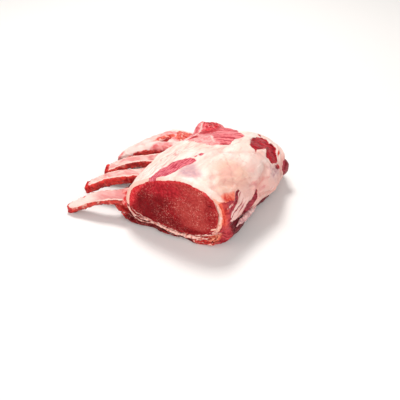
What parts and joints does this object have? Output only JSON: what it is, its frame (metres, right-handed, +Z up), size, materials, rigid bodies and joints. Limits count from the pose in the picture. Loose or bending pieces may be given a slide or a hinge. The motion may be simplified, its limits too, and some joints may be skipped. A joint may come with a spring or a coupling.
{
  "type": "rack of pork",
  "caption": "Raw pork loin on its ribs, with a bare cut face, a cream fat cover with muscle showing through it, and curved trimmed ribs reaching out on one side.",
  "frame": {"origin": "under the middle of the whole, in the plane that the rack rests on", "axes": "+X across the rack, from the rib tips to the backbone side; +Y along the loin, away from the front cut; +Z up"},
  "size_m": [0.1902, 0.1772, 0.0732],
  "materials": {
    "loin_eye": "moist",
    "fat_cap": "greasy satin",
    "side_muscle": "moist",
    "end_muscle": "moist",
    "back_muscle": "moist",
    "rib_meat": "moist",
    "rib_flap": "moist",
    "rib_1": "moist",
    "rib_2": "moist",
    "rib_3": "moist"
  },
  "bodies": {
    "root": {"loin_eye": "loin_eye", "fat_cap": "fat_cap", "side_muscle": "side_muscle", "end_muscle": "end_muscle", "back_muscle": "back_muscle", "rib_meat": "rib_meat", "rib_flap": "rib_flap", "rib_1": "rib_1", "rib_2": "rib_2", "rib_3": "rib_3"}
  },
  "joints": []
}
